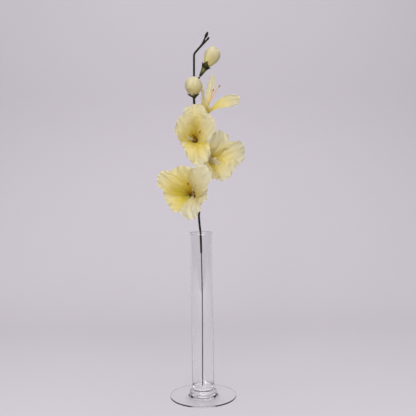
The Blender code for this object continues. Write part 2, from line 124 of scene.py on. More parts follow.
# Blooms
LAYER = 2.4
ROOT_RADIUS = 3.2
ROOT_DROP = 0.5
ROOT_HEIGHT = 6.0
SEPAL_SINK = 2.5
SEPAL_LIFT = 1.5
SEPALS = 3
DISC_RADIUS = 1.7
CORE_INSET = 1.4
SPINE_STEPS = 48
ROOT_PROFILE = [(0.0, -ROOT_DROP), (2.6, -ROOT_DROP), (3.5, 0.5), (4.9, ROOT_HEIGHT), (0.0, ROOT_HEIGHT)]
ANTHER_SHAPE = [(0.0, 0.0), (0.55, 0.03), (0.9, 0.2), (1.0, 0.5), (0.9, 0.8), (0.5, 0.97), (0.0, 1.0)]
ANTHER_RADIUS = 1.3

# Share of its layer by which an inner petal is raised, share of the crinkle and frill that a bud has, and
# places on the colour ramps of a bud's heart and of a calyx's rim
RAISED_SHARE = 0.3
BUD_SHARE = 0.15
BUD_HEART_PLACE = 0.8
CUP_RIM_PLACE = 0.8


@dataclass(frozen=True)
class Petal:
    """One blade. Turn is read on a clock that faces the viewer, spread is the tip's angle from the axis, and
    warmth moves the yellow of the throat towards the tip. At a warmth of -2 the blade is a ribbon, painted
    pale as painted light."""

    turn: float
    length: float = 66.0
    width: float = 22.0
    spread: float = 86.0
    layer: float = 0.0
    root_spread: float = 16.0
    flare: float = 1.25
    belly: float = 0.0
    claw: float = 0.14
    widest: float = 0.62
    tip_width: float = 0.9
    rounding: float = 0.16
    cup: float = 0.3
    hug: float = 0.0
    lift: float = 0.0
    overlap: float = 0.7
    fold: float = 1.0
    ruffle: float = 1.6
    ripples: float = 2.5
    twist: float = 0.0
    sweep: float = 0.0
    phase: float = 0.0
    warmth: float = 0.0


OPEN_SEPAL = Petal(
    40, 17, 5, 36, claw=0.75, widest=0.3, tip_width=0.12, rounding=0.0, overlap=0.0, fold=0.0, ruffle=0.0,
)
# A ribbon's warmth of -2 paints it pale, as painted light.
RIBBON = Petal(
    0, 32, 2.0, 62, 1.6 * LAYER, claw=0.6, widest=0.5, tip_width=0.7, overlap=0.0, ruffle=0.8, twist=50,
    warmth=-2.0,
)


@dataclass
class Stamen:
    """A filament from the throat. Lean is its angle from the axis, and bend adds to it towards the tip."""

    turn: float
    length: float = 34.0
    lean: float = 10.0
    bend: float = 14.0
    anther: float = 8.0


@dataclass
class Bloom:
    """Petals on one axis, which meet the calyx at base. Their shoot leaves the stem at the height shoot."""

    number: int
    base: tuple
    axis: tuple
    seed: float
    shoot: float
    petals: list
    stamens: list = field(default_factory=list)
    sepal: Petal = OPEN_SEPAL
    calyx_foot: float = 6.0


BLOOMS = [
    Bloom(
        1, (-8.8, -29.8, 366.0), (-0.47, -0.88, 0.04), 0.3, 353.0,
        [
            Petal(348, 69, 30, 88, root_spread=14, twist=-3, warmth=0.2),
            Petal(244, 55, 24, 84, root_spread=17, rounding=0.1, twist=16, sweep=5, warmth=0.25),
            Petal(98, 57, 20, 92, sweep=-2),
            Petal(312, 80, 20, 72, LAYER, rounding=0.08, twist=14, sweep=-1, warmth=0.15),
            Petal(160, 60, 21, 94, LAYER, root_spread=18, sweep=-2, warmth=-0.3),
            Petal(53, 84, 23, 104, LAYER, root_spread=18, twist=-8, sweep=-1, warmth=-0.1),
            replace(RIBBON, turn=60, length=54, width=2.5, spread=70),
            replace(RIBBON, turn=198, length=23, width=2.5, spread=50),
        ],
        [Stamen(26, 38, 24, 10), Stamen(340, 16, 10, 8)],
    ),
    Bloom(
        2, (6.0, -33.0, 428.0), (0.74, -0.66, 0.02), 2.0, 418.0,
        [
            Petal(359, 66, 22, 92, LAYER, root_spread=14, twist=14, sweep=-2, warmth=-0.1),
            Petal(72, 81, 23, 89, twist=-15, warmth=-0.1),
            Petal(218, 60, 22, 90, root_spread=13, twist=-8, warmth=0.1),
            Petal(136, 57, 29, 77, LAYER, twist=-8, sweep=-1, warmth=0.0),
            Petal(222, 44, 8, 18, 1.6 * LAYER, warmth=-2.0),
            Petal(300, 36, 15, 60, 1.6 * LAYER),
        ],
        [Stamen(112, 18, 6, 10), Stamen(40, 14, 5, 8)],
    ),
    Bloom(
        3, (-8.0, -35.0, 461.0), (-0.05, -0.97, 0.16), 1.1, 448.0,
        [
            Petal(4, 72, 19, 91, root_spread=19, twist=4, sweep=4, warmth=0.08),
            Petal(157, 73, 21, 96, twist=-14, sweep=4, warmth=0.05),
            Petal(268, 37, 16, 75, root_spread=13, twist=8, sweep=-2),
            Petal(316, 61, 25, 61, LAYER, root_spread=19, twist=-12, sweep=3, warmth=0.03),
            Petal(66, 64, 25, 70, LAYER, root_spread=20, twist=6, sweep=-5, warmth=-0.05),
            Petal(184, 63, 15.5, 92, LAYER, twist=8, sweep=-2, warmth=0.1),
            replace(RIBBON, turn=290, length=33, width=2.6, spread=50),
        ],
        [Stamen(56, 28, 20, 10), Stamen(340, 18, 5, 8)],
    ),
    Bloom(
        4, (7.5, -28.0, 501.0), (0.24, -0.32, 0.91), 3.0, 480.0,
        [
            Petal(
                128, 77, 11, 78, root_spread=6, flare=0.79, widest=0.68, tip_width=0.85, rounding=0.11,
                twist=-91, sweep=8,
            ),
            Petal(285, 44, 11, 150, root_spread=13, flare=0.9, twist=40, warmth=-0.2),
            Petal(32, 81, 7.5, 3, root_spread=6, claw=0.12, widest=0.9, twist=24, warmth=-0.2),
            Petal(232, 42, 8, 46, LAYER, warmth=0.05),
            Petal(344, 67, 6, 40, LAYER, root_spread=12, flare=0.7, twist=-15, sweep=8, warmth=-0.2),
            Petal(190, 26, 7, 60, 1.6 * LAYER, warmth=0.15),
        ],
        [Stamen(130, 57, 3, 20, 5), Stamen(160, 47, 2, 8, 4)],
        replace(OPEN_SEPAL, turn=345, length=14, spread=44),
    ),
]
BUD_PETAL = Petal(
    0, 51, 20, -90, root_spread=25, flare=2.5, belly=8, claw=0.25, widest=0.5, tip_width=0.25, cup=0.0,
    hug=1.0, rounding=0.0, overlap=1.0, fold=0.3, ruffle=0.2, warmth=-0.4,
)
BUD_SEPAL = replace(OPEN_SEPAL, root_spread=27, spread=31, length=15, width=8, hug=1.0, lift=1.2)
BUDS = [
    Bloom(
        5, (-8.6, -38.5, 541.0), (-0.03, -0.50, 0.87), 0.9, 516.0,
        [
            replace(BUD_PETAL, turn=turn, length=54, spread=-125, root_spread=57, belly=7, flare=1.25)
            for turn in (20, 140, 260)
        ],
        sepal=replace(BUD_SEPAL, length=11, width=6.5, root_spread=59, spread=44, lift=1.6),
    ),
    Bloom(
        6, (10.5, -23.5, 593.0), (0.50, 0.08, 0.86), 1.7, 566.0,
        [replace(BUD_PETAL, turn=turn) for turn in (80, 200, 320)], sepal=BUD_SEPAL, calyx_foot=17.0,
    ),
]

# Camera, in metres and degrees
IMAGE_SIDE = 416
FOCAL_PIXELS = 533.0
SENSOR_MM = 36.0
CAMERA_PLACE = (0.0131, -0.975, 0.3435)
CAMERA_ROLL = -0.79

# Stage, in metres: the floor lies a little below the foot and bends up into the wall behind. Each light has
# its place, the point it faces and its size.
FLOOR_LEVEL = -0.0003
FLOOR_BACK = 0.55
FLOOR_BEND = 0.85
FLOOR_HALF_WIDTH = 2.2
BEND_STEPS = 12
WALL_TOP = 2.4
LIGHTS = {
    "overhead": ((0.0, 0.0, 3.4), (0.0, 0.4, 0.0), 2.6),
    "key": ((0.15, -2.2, 1.6), (0.0, 0.0, 0.42), 2.0),
    "fill": ((-0.9, -2.2, 0.95), (0.0, 0.0, 0.42), 1.1),
}
ROOM_LIGHT = (0.14, 0.137, 0.144, 1.0)


# Settings

def colour_setting(name, description, default):
    return FloatVectorProperty(
        name=name, description=description, subtype="COLOR", default=default, min=0.0, max=1.0,
    )


def length_setting(name, description, default, low, high):
    return FloatProperty(
        name=name, description=description, default=default, min=low, max=high, unit="LENGTH",
    )


def power_setting(name, description, default):
    return FloatProperty(name=name, description=description, default=default, min=0.0, unit="POWER")


class GLADIOLUS_PG_vase(bpy.types.PropertyGroup):
    sides: IntProperty(name="Sides", description="Facets round the glass", default=160, min=48, max=256)
    tint: colour_setting("Tint", "Colour of the glass", (0.985, 0.99, 0.99))
    fillet: length_setting("Fillet", "Rounding of the profile's corners", 0.003, 0.0002, 0.01)


class GLADIOLUS_PG_stem(bpy.types.PropertyGroup):
    wire_radius: length_setting("Wire Radius", "Half the bare wire's thickness", 0.001, 0.0004, 0.0012)
    ridge: FloatProperty(
        name="Ridge", description="Depth of the moulded ridges, as a share of the radius", default=0.05,
        min=0.0, max=0.2, subtype="FACTOR",
    )
    green: colour_setting("Green", "Colour of the moulded stem", (0.004, 0.0062, 0.0028))
    olive: colour_setting("Olive", "Lighter colour inside the calyces", (0.20, 0.18, 0.055))
    wire: colour_setting("Wire", "Colour of the bare wire", (0.06, 0.06, 0.062))


class GLADIOLUS_PG_petals(bpy.types.PropertyGroup):
    rows: IntProperty(name="Rows", description="Grid rows along a petal", default=72, min=12, max=120)
    columns: IntProperty(name="Columns", description="Grid columns over a petal", default=48, min=8, max=96)
    thickness: length_setting("Thickness", "Thickness of the cloth", 0.00035, 0.0002, 0.0008)
    crinkle: length_setting("Crinkle", "Height of the fine folds in the cloth", 0.001, 0.0, 0.002)
    frill: length_setting("Frill", "Height of the small waves along the edge", 0.0016, 0.0, 0.003)
    cream: colour_setting("Cream", "Colour at the tips", (0.88, 0.85, 0.69))
    yellow: colour_setting("Yellow", "Colour half way to the throat", (0.92, 0.85, 0.50))
    throat: colour_setting("Throat", "Colour in the throat", (0.87, 0.77, 0.13))
    # Painted light: the ribbons' pale colour keeps them bright in the shade of the throats.
    ribbon: colour_setting("Ribbon", "Colour of the narrow blades in the throats", (0.98, 0.96, 0.86))
    # Streaks at the roots: partly markings and partly painted shade in the throats.
    streaks_and_shade: colour_setting("Spots", "Colour of the streaks at the petals' roots", (0.17, 0.07, 0.006))


class GLADIOLUS_PG_stamens(bpy.types.PropertyGroup):
    filament: colour_setting("Filament", "Colour of the filaments", (0.78, 0.40, 0.03))
    anther: colour_setting("Anther", "Colour of the anthers", (0.56, 0.20, 0.004))


class GLADIOLUS_PG_stage(bpy.types.PropertyGroup):
    floor: colour_setting("Floor", "Colour of the floor and backdrop", (0.592, 0.556, 0.604))
    overhead: power_setting("Overhead", "Power of the overhead light", 55.0)
    key: power_setting("Key", "Power of the high light in front", 52.0)
    fill: power_setting("Fill", "Power of the low light at the front left", 20.0)
    front_edge: length_setting(
        "Front Edge", "Distance of the floor's front edge from the vase", 1.2, 0.5, 3.0,
    )


# Shapes

def smooth_step(start, end, value):
    part = min(max((value - start) / (end - start), 0.0), 1.0)
    return part * part * (3.0 - 2.0 * part)


def clock_frame(axis):
    """Up, right and forward directions of a clock face that looks along the axis."""
    forward = Vector(axis).normalized()
    up = (Vector((0.0, 0.0, 1.0)) - forward * forward.z).normalized()
    return up, up.cross(forward), forward


def spine_of(petal):
    """The petal's centre line as (radius, height, angle) from root to tip."""
    def angle(part):
        opened = petal.root_spread + (petal.spread - petal.root_spread) * part ** petal.flare
        return math.radians(opened + petal.belly * math.sin(math.pi * part))

    radius = ROOT_RADIUS
    height = 0.0
    step = petal.length / SPINE_STEPS
    spine = [(radius, height, angle(0.0))]
    for index in range(SPINE_STEPS):
        middle = angle((index + 0.5) / SPINE_STEPS)
        radius += math.sin(middle) * step
        height += math.cos(middle) * step
        spine.append((radius, height, angle((index + 1) / SPINE_STEPS)))
    return spine


def along_spine(spine, part):
    place = min(max(part, 0.0), 1.0) * SPINE_STEPS
    index = min(int(place), SPINE_STEPS - 1)
    rest = place - index
    return tuple(low + (high - low) * rest for low, high in zip(spine[index], spine[index + 1]))


def half_width(petal, part):
    grown = petal.claw + (1.0 - petal.claw) * smooth_step(0.0, petal.widest, part)
    narrowed = 1.0 - (1.0 - petal.tip_width) * smooth_step(petal.widest, 1.0, part)
    return petal.width * grown * narrowed


def shared_folds(turn, part, seed):
    """Folds that all petals of a bloom share, so that their layers keep apart."""
    return (
        math.sin(3.0 * turn + seed + 1.1 * part)
        + 0.6 * math.sin(7.0 * turn + 2.3 * seed - 0.9 * part)
        + 0.3 * math.sin(13.0 * turn + 1.7 * seed)
    )


def fine_folds(petal, side, part, crinkle, frill):
    """Small folds of the cloth, in millimetres: pleats that fan out from the throat and a frilled edge."""
    open_cloth = smooth_step(0.12, 0.5, part)
    drift = noise.noise(Vector((2.0 * side, 3.0 * part, petal.phase)))
    pleats = math.sin(9.0 * side + 7.0 * drift + petal.phase) + 0.5 * math.sin(23.0 * side + 12.0 * drift)
    lumps = noise.noise(Vector((2.4 * side + petal.phase, 3.6 * part, 2.0 * petal.phase)))
    edge = abs(side) ** 5 * smooth_step(0.3, 0.8, part)
    waves = math.sin(22.0 * part + 9.0 * drift + (1.3 if side < 0 else 0.0))
    tip = part ** 9 * math.sin(13.0 * side + 2.0 * petal.phase)
    creases = noise.noise(Vector((5.0 * side - petal.phase, 8.0 * part, petal.phase)))
    raised = RAISED_SHARE * petal.layer * open_cloth if crinkle else 0.0
    folds = 0.25 * pleats + 1.6 * lumps + 0.8 * creases
    return raised + open_cloth * crinkle * folds + frill * (edge * waves + tip)


def petal_point(petal, spine, seed, side, part, crinkle=0.0, frill=0.0):
    """Sideways, outward and forward distance of the point at side -1 to 1 and part 0 to 1 of the petal."""
    back = petal.rounding * part ** 3 * abs(side) ** 2.2
    if frill:
        back += 0.018 * part ** 6 * (1.0 + noise.noise(Vector((5.0 * side, petal.phase, 0.5))))
    radius, height, angle = along_spine(spine, part - back)
    tube = 1.0 - smooth_step(0.05, 0.5, part)
    around = max(radius + petal.lift, ROOT_RADIUS)
    curve = max(tube, petal.hug) / around + petal.cup / 30.0 * (1.0 - tube)
    across = side * half_width(petal, part)
    if frill:
        across *= 1.0 + 0.05 * noise.noise(Vector((7.0 * part, petal.phase, 1.0 if side < 0 else 3.0)))
    sideways = math.sin(curve * across) / curve
    inward = (1.0 - math.cos(curve * across)) / curve
    turn = math.radians(petal.turn) + math.atan2(sideways, around + 6.0)
    inward += petal.fold * smooth_step(0.15, 1.0, part) ** 1.2 * shared_folds(turn, part, seed)
    wave = math.sin(2.0 * math.pi * petal.ripples * part + 1.7 * petal.phase + (2.1 if side < 0 else 0.0))
    inward += petal.ruffle * smooth_step(0.25, 0.75, part) * abs(side) ** 3 * wave
    inward += 0.75 * petal.ruffle * part ** 4 * math.sin(2.2 * math.pi * side + petal.phase)
    inward += petal.layer * (0.38 + 0.62 * smooth_step(0.05, 0.4, part)) - petal.lift
    inward += petal.overlap * side * smooth_step(0.0, 0.35, part)
    inward += fine_folds(petal, side, part, crinkle, frill)
    twist = math.radians(petal.twist) * part
    lateral = sideways * math.cos(twist) - inward * math.sin(twist)
    inward = inward * math.cos(twist) + sideways * math.sin(twist)
    lateral += petal.sweep * part * part
    return lateral, radius - inward * math.cos(angle), height + inward * math.sin(angle)


def new_mesh():
    """A bmesh whose points hold their place on a petal and whose corners hold a cloth map in centimetres."""
    mesh = bmesh.new()
    mesh.verts.layers.float_vector.new("place")
    mesh.loops.layers.uv.new("cloth")
    return mesh


def add_petal(mesh, petal, base, axis, seed, rows, columns, thickness, crinkle=0.0, frill=0.0):
    """One closed blade. Lengths are in millimetres."""
    place = mesh.verts.layers.float_vector["place"]
    cloth = mesh.loops.layers.uv["cloth"]
    spine = spine_of(petal)
    up, right, forward = clock_frame(axis)
    turn = math.radians(petal.turn)
    outward = up * math.cos(turn) + right * math.sin(turn)
    across = right * math.cos(turn) - up * math.sin(turn)
    breadth = min(1.0, petal.width / 16.0)
    columns = max(8, round(columns * breadth))
    crinkle *= breadth
    frill *= breadth
    grid = bmesh.ops.create_grid(mesh, x_segments=columns, y_segments=rows, size=1.0)
    for vert in grid["verts"]:
        side = vert.co.x
        part = (vert.co.y + 1.0) / 2.0
        lateral, radius, height = petal_point(petal, spine, seed, side, part, crinkle, frill)
        vert.co = (Vector(base) + outward * radius + across * lateral + forward * height) * MM
        vert[place] = (side, part, petal.warmth)
    faces = list({face for vert in grid["verts"] for face in vert.link_faces})
    for face in faces:
        for loop in face.loops:
            side, part, _ = loop.vert[place]
            loop[cloth].uv = (side * half_width(petal, part) / 10.0, part * petal.length / 10.0)
    mesh.normal_update()
    backs = bmesh.ops.extrude_face_region(mesh, geom=faces, use_keep_orig=True)["geom"]
    backs = [item for item in backs if isinstance(item, bmesh.types.BMVert)]
    for vert in backs:
        vert.co += vert.normal * thickness * MM / 2.0
    for vert in grid["verts"]:
        vert.co -= vert.normal * thickness * MM / 2.0


def filleted(profile, radius, steps=5):
    """The profile with each corner between its ends rounded."""
    points = [Vector(profile[0])]
    for before, corner, after in zip(profile, profile[1:], profile[2:]):
        before, corner, after = Vector(before), Vector(corner), Vector(after)
        reach = min(radius, 0.48 * (corner - before).length, 0.48 * (after - corner).length)
        start = corner + (before - corner).normalized() * reach
        end = corner + (after - corner).normalized() * reach
        for step in range(steps + 1):
            part = step / steps
            points.append(
                start * (1.0 - part) ** 2 + corner * 2.0 * part * (1.0 - part) + end * part ** 2
            )
    return points + [Vector(profile[-1])]


def add_turned(
    mesh, profile, base=(0.0, 0.0, 0.0), axis=(0.0, 0.0, 1.0), sides=48, place_value=(0.0, 0.0, 0.0),
):
    """A closed solid spun from (radius, height) points that start and end on the axis."""
    place = mesh.verts.layers.float_vector["place"]
    verts = [mesh.verts.new((radius * MM, 0.0, height * MM)) for radius, height in profile]
    edges = [mesh.edges.new(pair) for pair in zip(verts, verts[1:])]
    bmesh.ops.spin(
        mesh, geom=verts + edges, cent=(0, 0, 0), axis=(0, 0, 1), angle=math.tau, steps=sides, use_merge=True,
    )
    made = set(verts)
    left = list(verts)
    while left:
        vert = left.pop()
        for edge in vert.link_edges:
            other = edge.other_vert(vert)
            if other not in made:
                made.add(other)
                left.append(other)
    for vert in made:
        vert[place] = place_value
    turn = Vector(axis).to_track_quat("Z", "Y").to_matrix().to_4x4()
    bmesh.ops.transform(mesh, matrix=Matrix.Translation(Vector(base) * MM) @ turn, verts=list(made))
    bmesh.ops.remove_doubles(mesh, verts=[vert for vert in made if vert.is_valid], dist=0.001 * MM)


def curve_points(route, count):
    """Points of a smooth curve that passes through every point of the route."""
    ends = [Vector(route[0]) * 2.0 - Vector(route[1])] + [Vector(point) for point in route]
    ends.append(Vector(route[-1]) * 2.0 - Vector(route[-2]))
    points = []
    for index in range(1, len(ends) - 2):
        before, start, end, after = ends[index - 1:index + 3]
        for step in range(count):
            part = step / count
            points.append(0.5 * (
                2.0 * start + (end - before) * part
                + (2.0 * before - 5.0 * start + 4.0 * end - after) * part ** 2
                + (3.0 * start - before - 3.0 * end + after) * part ** 3
            ))
    return points + [Vector(route[-1])]


def domed(points, radii):
    """Adds a round end to both ends of a bar's points and radii."""
    first = (points[0] - points[1]).normalized()
    last = (points[-1] - points[-2]).normalized()
    heads = []
    tails = []
    for angle in (20.0, 45.0, 70.0, 86.0):
        turn = math.radians(angle)
        heads.insert(0, (points[0] + first * radii[0] * math.sin(turn) * 0.6, radii[0] * math.cos(turn)))
        tails.append((points[-1] + last * radii[-1] * math.sin(turn) * 0.6, radii[-1] * math.cos(turn)))
    stations = heads + list(zip(points, radii)) + tails
    return [point for point, radius in stations], [radius for point, radius in stations]


def add_bar(mesh, points, radii, sides=16, ridges=0, ridge=0.0):
    """A closed bar along the points: a disc is extruded from each point to the next."""
    place = mesh.verts.layers.float_vector["place"]
    points, radii = domed([Vector(point) for point in points], list(radii))
    ways = [(after - before).normalized() for before, after in zip(points, points[1:])]
    disc = bmesh.ops.create_circle(mesh, cap_ends=True, segments=sides, radius=1.0)["verts"]
    for vert in disc:
        around = math.atan2(vert.co.y, vert.co.x)
        vert.co *= 1.0 + ridge * math.cos(ridges * around)
    turn = ways[0].to_track_quat("Z", "Y")
    face = disc[0].link_faces[0]
    pose = Matrix.Identity(4)
    for index, (point, radius) in enumerate(zip(points, radii)):
        way = ways[min(index, len(ways) - 1)]
        if 0 < index < len(ways):
            way = (ways[index - 1] + ways[index]).normalized()
        turn = (turn @ Vector((0.0, 0.0, 1.0))).rotation_difference(way) @ turn
        wanted = Matrix.LocRotScale(point * MM, turn, Vector((radius * MM,) * 3))
        if index:
            made = bmesh.ops.extrude_face_region(mesh, geom=[face])["geom"]
            face = next(item for item in made if isinstance(item, bmesh.types.BMFace))
        bmesh.ops.transform(mesh, matrix=wanted @ pose.inverted(), verts=list(face.verts))
        for vert in face.verts:
            vert[place] = (0.0, 0.0, 0.0)
        pose = wanted


def linked_object(name, data):
    """Makes an object from its data and puts it in the scene."""
    obj = bpy.data.objects.new(name, data)
    bpy.context.scene.collection.objects.link(obj)
    return obj


def mesh_object(name, mesh, finish):
    """Makes a smooth object from a bmesh, and frees the bmesh."""
    bmesh.ops.recalc_face_normals(mesh, faces=mesh.faces)
    data = bpy.data.meshes.new(name)
    mesh.to_mesh(data)
    mesh.free()
    data.shade_smooth()
    data.materials.append(finish)
    return linked_object(name, data)


def finished_piece(name, mesh, finish, nodes, smooth_angle=50.0):
    """Makes a piece from a bmesh and puts it in the solids' place."""
    obj = mesh_object(name, mesh, finish)
    obj.data.set_sharp_from_angle(angle=math.radians(smooth_angle))
    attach(obj, BODY)
    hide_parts(*nodes)


# Shader groups

def feed(tree, socket, value):
    """Links the socket to another socket, or sets a number or colour on it."""
    if isinstance(value, bpy.types.NodeSocket):
        tree.links.new(value, socket)
    elif isinstance(value, (int, float)):
        socket.default_value = value
    else:
        socket.default_value = (*value, 1.0)


def set_inputs(node, values):
    for label, value in values.items():
        node.inputs[label].default_value = value


def group_tree(name, vector, numbers, output):
    """A shader node group with a vector input, number inputs with their defaults, and one number output."""
    tree = bpy.data.node_groups.new(name, "ShaderNodeTree")
    tree.interface.new_socket(vector, in_out="INPUT", socket_type="NodeSocketVector")
    for label, value in numbers.items():
        socket = tree.interface.new_socket(label, in_out="INPUT", socket_type="NodeSocketFloat")
        socket.default_value = value
    tree.interface.new_socket(output, in_out="OUTPUT", socket_type="NodeSocketFloat")
    return tree, tree.nodes.new("NodeGroupInput"), tree.nodes.new("NodeGroupOutput")


def place_group(tree, group, **values):
    node = tree.nodes.new("ShaderNodeGroup")
    node.node_tree = group
    for label, value in values.items():
        feed(tree, node.inputs[label], value)
    return node.outputs[0]


def add_math(tree, operation, first, second):
    node = tree.nodes.new("ShaderNodeMath")
    node.operation = operation
    feed(tree, node.inputs[0], first)
    feed(tree, node.inputs[1], second)
    return node.outputs[0]


def clamped(tree, value):
    clamp = tree.nodes.new("ShaderNodeClamp")
    feed(tree, clamp.inputs["Value"], value)
    return clamp.outputs["Result"]


def mottle_group():
    """Soft uneven patches, such as cloth or moulded plastic shows."""
    found = bpy.data.node_groups.get("Mottle")
    if found:
        return found
    numbers = {"Scale": 40.0, "Detail": 3.0, "Contrast": 0.5}
    tree, start, end = group_tree("Mottle", "Vector", numbers, "Mask")
    cloud = tree.nodes.new("ShaderNodeTexNoise")
    for label in ("Vector", "Scale", "Detail"):
        feed(tree, cloud.inputs[label], start.outputs[label])
    centred = add_math(tree, "SUBTRACT", cloud.outputs["Fac"], 0.5)
    spread = add_math(tree, "MULTIPLY", centred, add_math(tree, "MULTIPLY", start.outputs["Contrast"], 4.0))
    feed(tree, end.inputs["Mask"], clamped(tree, add_math(tree, "ADD", spread, 0.5)))
    return tree


def veins_group():
    """Lines that run from root to tip of a petal or sepal."""
    found = bpy.data.node_groups.get("Veins")
    if found:
        return found
    tree, start, end = group_tree("Veins", "Place", {"Count": 7.0, "Sharpness": 3.0}, "Mask")
    split = tree.nodes.new("ShaderNodeSeparateXYZ")
    feed(tree, split.inputs["Vector"], start.outputs["Place"])
    join = tree.nodes.new("ShaderNodeCombineXYZ")
    for label, factor in (("X", start.outputs["Count"]), ("Y", 0.9), ("Z", 9.0)):
        feed(tree, join.inputs[label], add_math(tree, "MULTIPLY", split.outputs[label], factor))
    cloud = tree.nodes.new("ShaderNodeTexNoise")
    set_inputs(cloud, {"Scale": 1.0, "Detail": 3.0})
    feed(tree, cloud.inputs["Vector"], join.outputs["Vector"])
    centred = add_math(tree, "ABSOLUTE", add_math(tree, "SUBTRACT", cloud.outputs["Fac"], 0.5), 0.0)
    ridge = add_math(tree, "SUBTRACT", 1.0, add_math(tree, "MULTIPLY", centred, 4.0))
    feed(tree, end.inputs["Mask"], add_math(tree, "POWER", clamped(tree, ridge), start.outputs["Sharpness"]))
    return tree


def weave_group():
    """Threads that cross at right angles."""
    found = bpy.data.node_groups.get("Weave")
    if found:
        return found
    tree, start, end = group_tree("Weave", "Map", {"Threads": 14.0}, "Height")
    heights = []
    for direction in ("X", "Y"):
        threads = tree.nodes.new("ShaderNodeTexWave")
        threads.bands_direction = direction
        set_inputs(threads, {"Distortion": 1.5, "Detail": 1.0})
        feed(tree, threads.inputs["Vector"], start.outputs["Map"])
        feed(tree, threads.inputs["Scale"], start.outputs["Threads"])
        heights.append(threads.outputs["Fac"])
    feed(tree, end.inputs["Height"], add_math(tree, "MULTIPLY", *heights))
    return tree


# Materials

def new_material(name):
    """A material with its node tree and Principled shader."""
    made = bpy.data.materials.new(name)
    made.use_nodes = True
    return made, made.node_tree, made.node_tree.nodes["Principled BSDF"]


def blade_place(tree):
    """A point's place on its blade as a vector, and as its side, part and warmth."""
    place = tree.nodes.new("ShaderNodeAttribute")
    place.attribute_name = "place"
    split = tree.nodes.new("ShaderNodeSeparateXYZ")
    feed(tree, split.inputs["Vector"], place.outputs["Vector"])
    return place.outputs["Vector"], *split.outputs


def add_mottle(tree, scale, detail, contrast):
    where = tree.nodes.new("ShaderNodeTexCoord").outputs["Object"]
    return place_group(tree, mottle_group(), Vector=where, Scale=scale, Detail=detail, Contrast=contrast)


def add_ramp(tree, factor, stops):
    """A colour ramp through (position, colour) stops."""
    ramp = tree.nodes.new("ShaderNodeValToRGB")
    elements = ramp.color_ramp.elements
    while len(elements) < len(stops):
        elements.new(0.5)
    for element, (position, colour) in zip(elements, stops):
        element.position = position
        element.color = (*colour, 1.0)
    feed(tree, ramp.inputs["Fac"], factor)
    return ramp.outputs["Color"]


def add_mix(tree, factor, first, second, blend="MIX"):
    """A colour mix of two colours or colour sockets."""
    mix = tree.nodes.new("ShaderNodeMix")
    mix.data_type = "RGBA"
    mix.blend_type = blend
    for index, value in ((0, factor), (6, first), (7, second)):
        feed(tree, mix.inputs[index], value)
    return mix.outputs[2]


def add_bump(tree, shader, height, distance, strength=1.0):
    bump = tree.nodes.new("ShaderNodeBump")
    set_inputs(bump, {"Strength": strength, "Distance": distance})
    feed(tree, bump.inputs["Height"], height)
    feed(tree, shader.inputs["Normal"], bump.outputs["Normal"])
    return bump.outputs["Normal"]


def add_roughness(tree, shader, mask, low, high):
    """Roughness that goes from low to high with a mask."""
    rough = tree.nodes.new("ShaderNodeMapRange")
    set_inputs(rough, {"To Min": low, "To Max": high})
    feed(tree, rough.inputs["Value"], mask)
    feed(tree, shader.inputs["Roughness"], rough.outputs["Result"])


def mix_surfaces(tree, factor, first, second):
    """Mixes two shaders into the material's surface."""
    mix = tree.nodes.new("ShaderNodeMixShader")
    feed(tree, mix.inputs["Fac"], factor)
    feed(tree, mix.inputs[1], first.outputs["BSDF"])
    feed(tree, mix.inputs[2], second.outputs["BSDF"])
    feed(tree, tree.nodes["Material Output"].inputs["Surface"], mix.outputs["Shader"])


def scaled(colour, share):
    return tuple(channel * share for channel in colour)


def blended(first, second, share):
    return tuple(low + (high - low) * share for low, high in zip(first, second))


def petal_cloth(look):
    """Dyed cloth: a deep gold throat that fades through yellow to cream, with brown streaks at the root that
    are partly markings and partly painted shade, darker veins and a weave. Ribbons are painted paler all
    over, as painted light."""
    made, tree, shader = new_material("petal_cloth")
    place, _, part, warmth = blade_place(tree)
    cloth = tree.nodes.new("ShaderNodeUVMap")
    cloth.uv_map = "cloth"
    veins = place_group(tree, veins_group(), Place=place, Count=8.0, Sharpness=2.5)
    mottle = add_mottle(tree, 45.0, 3.0, 0.5)
    weave = place_group(tree, weave_group(), Map=cloth.outputs["UV"], Threads=9.0)
    shift = add_math(tree, "MULTIPLY", add_math(tree, "SUBTRACT", mottle, 0.5), 0.12)
    veined = add_math(tree, "MULTIPLY", veins, -0.12)
    along = add_math(tree, "ADD", part, add_math(tree, "ADD", shift, veined))
    cream, yellow, throat = look.cream[:], look.yellow[:], look.throat[:]
    dyed = add_ramp(tree, add_math(tree, "SUBTRACT", along, warmth), [
        (0.0, scaled(throat, 0.85)),
        (0.18, throat),
        (0.38, blended(throat, yellow, 0.6)),
        (0.54, yellow),
        (0.76, blended(yellow, cream, 0.6)),
        (1.0, cream),
    ])
    # Brown streaks at the roots, deepest in the throat: partly markings and partly painted shade where the
    # throat lies in shadow.
    streaks_and_shade = add_ramp(tree, along, [(0.02, (1.0, 1.0, 1.0)), (0.09, (0.0, 0.0, 0.0))])
    dyed = add_mix(tree, streaks_and_shade, dyed, look.streaks_and_shade[:])
    # Painted light: blades with a warmth of -2 take the pale ribbon colour, so that they stay bright in the
    # shade of the throat.
    ribbon_light_share = add_math(tree, "MULTIPLY", warmth, -0.5)
    pale = add_ramp(tree, ribbon_light_share, [(0.5, (0.0, 0.0, 0.0)), (0.9, (1.0, 1.0, 1.0))])
    dyed = add_mix(tree, pale, dyed, look.ribbon[:])
    shaded = add_mix(tree, 0.28, dyed, scaled(blended(yellow, cream, 0.5), 0.80), "MULTIPLY")
    colour = add_mix(tree, add_math(tree, "MULTIPLY", veins, 0.3), dyed, shaded)
    feed(tree, shader.inputs["Base Color"], colour)
    set_inputs(shader, {"Roughness": 0.72, "Sheen Weight": 0.15})
    height = add_math(tree, "ADD", add_math(tree, "MULTIPLY", weave, 0.3), veins)
    normal = add_bump(tree, shader, height, 0.0002, 0.35)
    through = tree.nodes.new("ShaderNodeBsdfTranslucent")
    feed(tree, through.inputs["Color"], colour)
    feed(tree, through.inputs["Normal"], normal)
    mix_surfaces(tree, 0.5, shader, through)
    return made


